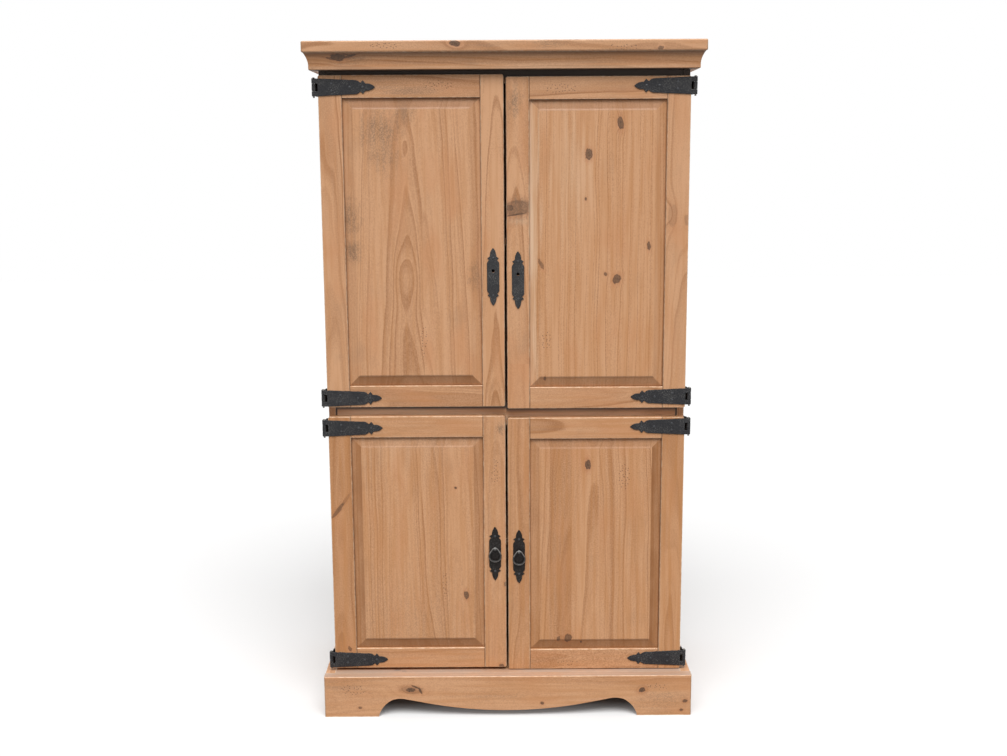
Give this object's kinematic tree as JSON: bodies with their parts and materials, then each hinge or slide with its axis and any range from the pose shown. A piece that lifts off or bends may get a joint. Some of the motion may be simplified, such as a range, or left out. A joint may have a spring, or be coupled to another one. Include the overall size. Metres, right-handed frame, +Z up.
{
  "type": "trastero cabinet",
  "caption": "Tall rustic pine cupboard with raised-panel double doors above and below, iron strap hinges, a coved cornice and a scrolled plinth.",
  "frame": {"origin": "on the floor, under the middle of the whole object's box", "axes": "+X to the right seen from the front, +Y to the back, +Z up"},
  "size_m": [1.022, 0.56, 1.803],
  "materials": {
    "waxed_pine": "antique wax",
    "black_iron": "hammered black",
    "pin_steel": "satin",
    "catch_brass": "satin"
  },
  "bodies": {
    "cabinet": {"left_side": "waxed_pine", "right_side": "waxed_pine", "back_boards": "waxed_pine", "carcass_top": "waxed_pine", "middle_deck": "waxed_pine", "bottom_deck": "waxed_pine", "top_rail": "waxed_pine", "middle_rail": "waxed_pine", "crown_slab": "waxed_pine", "cornice_packer": "waxed_pine", "cornice_front": "waxed_pine", "cornice_left": "waxed_pine", "cornice_right": "waxed_pine", "plinth_front": "waxed_pine", "plinth_left": "waxed_pine", "plinth_right": "waxed_pine", "plinth_back": "waxed_pine", "upper_shelf": "waxed_pine", "lower_shelf": "waxed_pine", "shelf_pins": "pin_steel", "hinge_side_leaves": "black_iron", "side_leaf_screws": "black_iron", "hinge_pins": "pin_steel", "ball_catches": "catch_brass"},
    "upper_left_door": {"upper_left_hinge_stile": "waxed_pine", "upper_left_meeting_stile": "waxed_pine", "upper_left_top_rail": "waxed_pine", "upper_left_bottom_rail": "waxed_pine", "upper_left_panel": "waxed_pine", "upper_left_straps": "black_iron", "upper_left_pull_plate": "black_iron", "upper_left_screws": "black_iron"},
    "upper_right_door": {"upper_right_hinge_stile": "waxed_pine", "upper_right_meeting_stile": "waxed_pine", "upper_right_top_rail": "waxed_pine", "upper_right_bottom_rail": "waxed_pine", "upper_right_panel": "waxed_pine", "upper_right_straps": "black_iron", "upper_right_pull_plate": "black_iron", "upper_right_screws": "black_iron"},
    "lower_left_door": {"lower_left_hinge_stile": "waxed_pine", "lower_left_meeting_stile": "waxed_pine", "lower_left_top_rail": "waxed_pine", "lower_left_bottom_rail": "waxed_pine", "lower_left_panel": "waxed_pine", "lower_left_straps": "black_iron", "lower_left_pull_plate": "black_iron", "lower_left_screws": "black_iron", "lower_left_pull_stud": "black_iron"},
    "lower_right_door": {"lower_right_hinge_stile": "waxed_pine", "lower_right_meeting_stile": "waxed_pine", "lower_right_top_rail": "waxed_pine", "lower_right_bottom_rail": "waxed_pine", "lower_right_panel": "waxed_pine", "lower_right_straps": "black_iron", "lower_right_pull_plate": "black_iron", "lower_right_screws": "black_iron", "lower_right_pull_stud": "black_iron"},
    "lower_left_pull": {"lower_left_drop_pull": "black_iron"},
    "lower_right_pull": {"lower_right_drop_pull": "black_iron"}
  },
  "joints": [
    {"name": "upper_left_door_swing", "type": "hinge", "parent": "cabinet", "child": "upper_left_door", "pos_m": [-0.48675, -0.23425, 1.29], "axis": [0, 0, -1], "range_deg": [0, 235]},
    {"name": "upper_right_door_swing", "type": "hinge", "parent": "cabinet", "child": "upper_right_door", "pos_m": [0.48675, -0.23425, 1.29], "axis": [0, 0, 1], "range_deg": [0, 235]},
    {"name": "lower_left_door_swing", "type": "hinge", "parent": "cabinet", "child": "lower_left_door", "pos_m": [-0.48675, -0.23425, 0.476], "axis": [0, 0, -1], "range_deg": [0, 235]},
    {"name": "lower_right_door_swing", "type": "hinge", "parent": "cabinet", "child": "lower_right_door", "pos_m": [0.48675, -0.23425, 0.476], "axis": [0, 0, 1], "range_deg": [0, 235]},
    {"name": "lower_left_pull_swing", "type": "hinge", "parent": "lower_left_door", "child": "lower_left_pull", "pos_m": [-0.0325, -0.2448, 0.4675], "axis": [-1, 0, 0], "range_deg": [-4, 95]},
    {"name": "lower_right_pull_swing", "type": "hinge", "parent": "lower_right_door", "child": "lower_right_pull", "pos_m": [0.0325, -0.2448, 0.4585], "axis": [-1, 0, 0], "range_deg": [-4, 95]}
  ]
}
